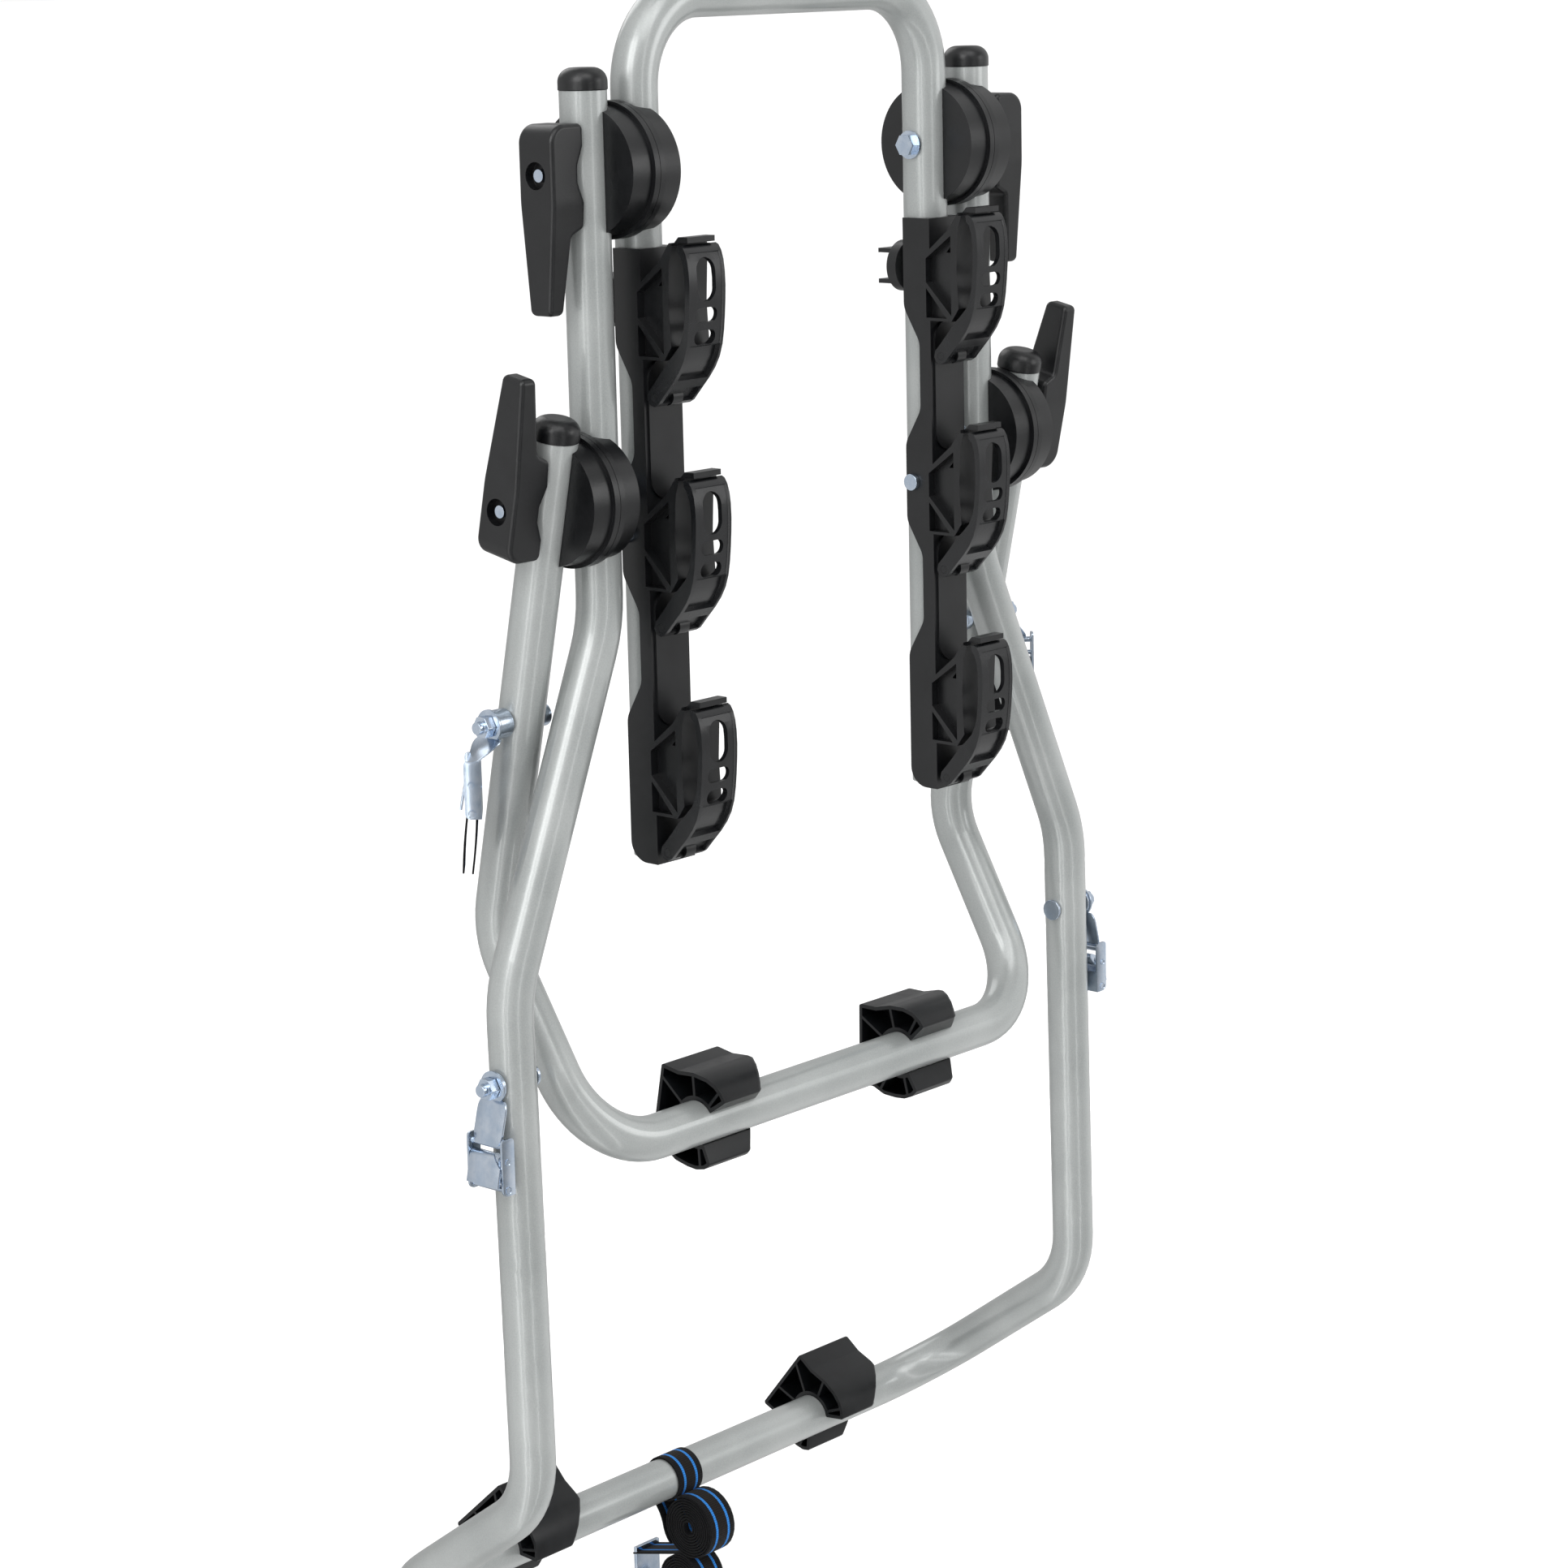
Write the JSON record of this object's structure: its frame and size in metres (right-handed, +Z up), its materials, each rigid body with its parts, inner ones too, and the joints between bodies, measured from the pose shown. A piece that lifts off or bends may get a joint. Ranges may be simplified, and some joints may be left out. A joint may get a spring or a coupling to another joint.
{
  "type": "trunk mounted bike rack",
  "caption": "Folding bike rack of bent steel tube that straps to a car's rear, with toothed hubs, ribbed cradles, rubber straps and pads.",
  "frame": {"origin": "middle of the lowest crossbar's axis, round which the lower pads meet the car", "axes": "+X across the car, +Y towards the car, +Z up; the rack is folded flat as in the picture"},
  "size_m": [0.6276, 0.2438, 1.1748],
  "materials": {
    "silver_powder_coat": "satin silver-grey powder coat",
    "black_nylon": "fine grained moulded nylon",
    "black_rubber": "satin moulded rubber",
    "black_rubber_pad": "matt moulded rubber",
    "zinc_steel": "bright zinc plate",
    "black_webbing": "woven polyester webbing"
  },
  "bodies": {
    "main_frame": {"main_frame_tube": "silver_powder_coat", "main_frame_caps": "black_nylon", "upper_hub_outer_left": "black_nylon", "upper_hub_outer_right": "black_nylon", "lower_hub_inner_left": "black_nylon", "lower_hub_inner_right": "black_nylon", "upper_hub_bolts": "zinc_steel", "lower_hub_bolts": "zinc_steel", "main_strap_bolts": "zinc_steel", "strap_roll_upper": "black_webbing", "strap_roll_lower": "black_webbing", "strap_hook": "zinc_steel"},
    "support_frame": {"support_frame_tube": "silver_powder_coat", "support_frame_caps": "black_nylon", "lower_hub_outer_left": "black_nylon", "lower_hub_outer_right": "black_nylon", "support_strap_bolts": "zinc_steel"},
    "bike_arm": {"bike_arm_tube": "silver_powder_coat", "upper_hub_inner_left": "black_nylon", "upper_hub_inner_right": "black_nylon", "cradle_rail_left": "black_nylon", "cradle_rail_right": "black_nylon", "rail_bolts": "zinc_steel", "rear_stops": "black_nylon", "rear_stop_bolts": "zinc_steel"},
    "upper_lever_left": {"upper_lever_left": "black_nylon"},
    "upper_lever_right": {"upper_lever_right": "black_nylon"},
    "lower_lever_left": {"lower_lever_left": "black_nylon"},
    "lower_lever_right": {"lower_lever_right": "black_nylon"},
    "cradle_strap_left_1": {"cradle_strap_left_1": "black_rubber"},
    "cradle_strap_left_2": {"cradle_strap_left_2": "black_rubber"},
    "cradle_strap_left_3": {"cradle_strap_left_3": "black_rubber"},
    "cradle_strap_right_1": {"cradle_strap_right_1": "black_rubber"},
    "cradle_strap_right_2": {"cradle_strap_right_2": "black_rubber"},
    "cradle_strap_right_3": {"cradle_strap_right_3": "black_rubber"},
    "lower_pad_left": {"lower_pad_left": "black_rubber_pad"},
    "lower_pad_right": {"lower_pad_right": "black_rubber_pad"},
    "support_pad_left": {"support_pad_left": "black_rubber_pad"},
    "support_pad_right": {"support_pad_right": "black_rubber_pad"},
    "main_buckle_left": {"main_buckle_left": "zinc_steel"},
    "main_buckle_cam_left": {"main_buckle_cam_left": "zinc_steel"},
    "main_buckle_right": {"main_buckle_right": "zinc_steel"},
    "main_buckle_cam_right": {"main_buckle_cam_right": "zinc_steel"},
    "support_buckle_left": {"support_buckle_left": "zinc_steel", "support_web_left": "black_webbing"},
    "support_buckle_cam_left": {"support_buckle_cam_left": "zinc_steel"},
    "support_buckle_right": {"support_buckle_right": "zinc_steel", "support_web_right": "black_webbing"},
    "support_buckle_cam_right": {"support_buckle_cam_right": "zinc_steel"}
  },
  "joints": [
    {"name": "arm_fold", "type": "hinge", "parent": "main_frame", "child": "bike_arm", "pos_m": [0, -0.138, 0.953], "axis": [-1, 0, 0], "range_deg": [0, 95]},
    {"name": "support_fold", "type": "hinge", "parent": "main_frame", "child": "support_frame", "pos_m": [0, -0.138, 0.751], "axis": [1, 0, 0], "range_deg": [0, 140]},
    {"name": "upper_lever_left_turn", "type": "hinge", "parent": "main_frame", "child": "upper_lever_left", "pos_m": [-0.216, -0.138, 0.953], "axis": [1, 0, 0], "continuous": true},
    {"name": "upper_lever_right_turn", "type": "hinge", "parent": "main_frame", "child": "upper_lever_right", "pos_m": [0.216, -0.138, 0.953], "axis": [1, 0, 0], "continuous": true},
    {"name": "lower_lever_left_turn", "type": "hinge", "parent": "main_frame", "child": "lower_lever_left", "pos_m": [-0.259, -0.138, 0.751], "axis": [1, 0, 0], "continuous": true},
    {"name": "lower_lever_right_turn", "type": "hinge", "parent": "main_frame", "child": "lower_lever_right", "pos_m": [0.259, -0.138, 0.751], "axis": [1, 0, 0], "continuous": true},
    {"name": "cradle_strap_left_1_open", "type": "hinge", "parent": "bike_arm", "child": "cradle_strap_left_1", "pos_m": [-0.141, -0.1632, 0.811], "axis": [1, 0, 0], "range_deg": [0, 85]},
    {"name": "cradle_strap_left_2_open", "type": "hinge", "parent": "bike_arm", "child": "cradle_strap_left_2", "pos_m": [-0.141, -0.1632, 0.6643], "axis": [1, 0, 0], "range_deg": [0, 85]},
    {"name": "cradle_strap_left_3_open", "type": "hinge", "parent": "bike_arm", "child": "cradle_strap_left_3", "pos_m": [-0.141, -0.1632, 0.5176], "axis": [1, 0, 0], "range_deg": [0, 85]},
    {"name": "cradle_strap_right_1_open", "type": "hinge", "parent": "bike_arm", "child": "cradle_strap_right_1", "pos_m": [0.141, -0.1632, 0.811], "axis": [1, 0, 0], "range_deg": [0, 85]},
    {"name": "cradle_strap_right_2_open", "type": "hinge", "parent": "bike_arm", "child": "cradle_strap_right_2", "pos_m": [0.141, -0.1632, 0.6643], "axis": [1, 0, 0], "range_deg": [0, 85]},
    {"name": "cradle_strap_right_3_open", "type": "hinge", "parent": "bike_arm", "child": "cradle_strap_right_3", "pos_m": [0.141, -0.1632, 0.5176], "axis": [1, 0, 0], "range_deg": [0, 85]},
    {"name": "lower_pad_left_turn", "type": "hinge", "parent": "main_frame", "child": "lower_pad_left", "pos_m": [-0.1445, 0, 0], "axis": [1, 0, 0], "range_deg": [-90, 90]},
    {"name": "lower_pad_right_turn", "type": "hinge", "parent": "main_frame", "child": "lower_pad_right", "pos_m": [0.1775, 0, 0], "axis": [1, 0, 0], "range_deg": [-90, 90]},
    {"name": "support_pad_left_turn", "type": "hinge", "parent": "support_frame", "child": "support_pad_left", "pos_m": [-0.1015, -0.155, 0.328], "axis": [1, 0, 0], "range_deg": [-90, 90]},
    {"name": "support_pad_right_turn", "type": "hinge", "parent": "support_frame", "child": "support_pad_right", "pos_m": [0.1055, -0.155, 0.328], "axis": [1, 0, 0], "range_deg": [-90, 90]},
    {"name": "main_buckle_left_swing", "type": "hinge", "parent": "main_frame", "child": "main_buckle_left", "pos_m": [-0.3, -0.14351, 0.391], "axis": [1, 0, 0], "range_deg": [-90, 90]},
    {"name": "main_buckle_cam_left_open", "type": "hinge", "parent": "main_buckle_left", "child": "main_buckle_cam_left", "pos_m": [-0.306, -0.14351, 0.346], "axis": [0, 1, 0], "range_deg": [0, 35], "stiffness_Nm_per_rad": 0.05, "springref_deg": -11.46},
    {"name": "main_buckle_right_swing", "type": "hinge", "parent": "main_frame", "child": "main_buckle_right", "pos_m": [0.3, -0.14351, 0.391], "axis": [1, 0, 0], "range_deg": [-90, 90]},
    {"name": "main_buckle_cam_right_open", "type": "hinge", "parent": "main_buckle_right", "child": "main_buckle_cam_right", "pos_m": [0.306, -0.14351, 0.346], "axis": [0, -1, 0], "range_deg": [0, 35], "stiffness_Nm_per_rad": 0.05, "springref_deg": -11.46},
    {"name": "support_buckle_left_swing", "type": "hinge", "parent": "support_frame", "child": "support_buckle_left", "pos_m": [-0.257, -0.1076, 0.611], "axis": [1, 0, 0], "range_deg": [0, 90]},
    {"name": "support_buckle_cam_left_open", "type": "hinge", "parent": "support_buckle_left", "child": "support_buckle_cam_left", "pos_m": [-0.27146, -0.10389, 0.578], "axis": [0.7071, 0.7071, 0], "range_deg": [0, 35], "stiffness_Nm_per_rad": 0.05, "springref_deg": -11.46},
    {"name": "support_buckle_right_swing", "type": "hinge", "parent": "support_frame", "child": "support_buckle_right", "pos_m": [0.257, -0.1076, 0.611], "axis": [1, 0, 0], "range_deg": [0, 90]},
    {"name": "support_buckle_cam_right_open", "type": "hinge", "parent": "support_buckle_right", "child": "support_buckle_cam_right", "pos_m": [0.27146, -0.10389, 0.578], "axis": [0.7071, -0.7071, 0], "range_deg": [0, 35], "stiffness_Nm_per_rad": 0.05, "springref_deg": -11.46}
  ]
}
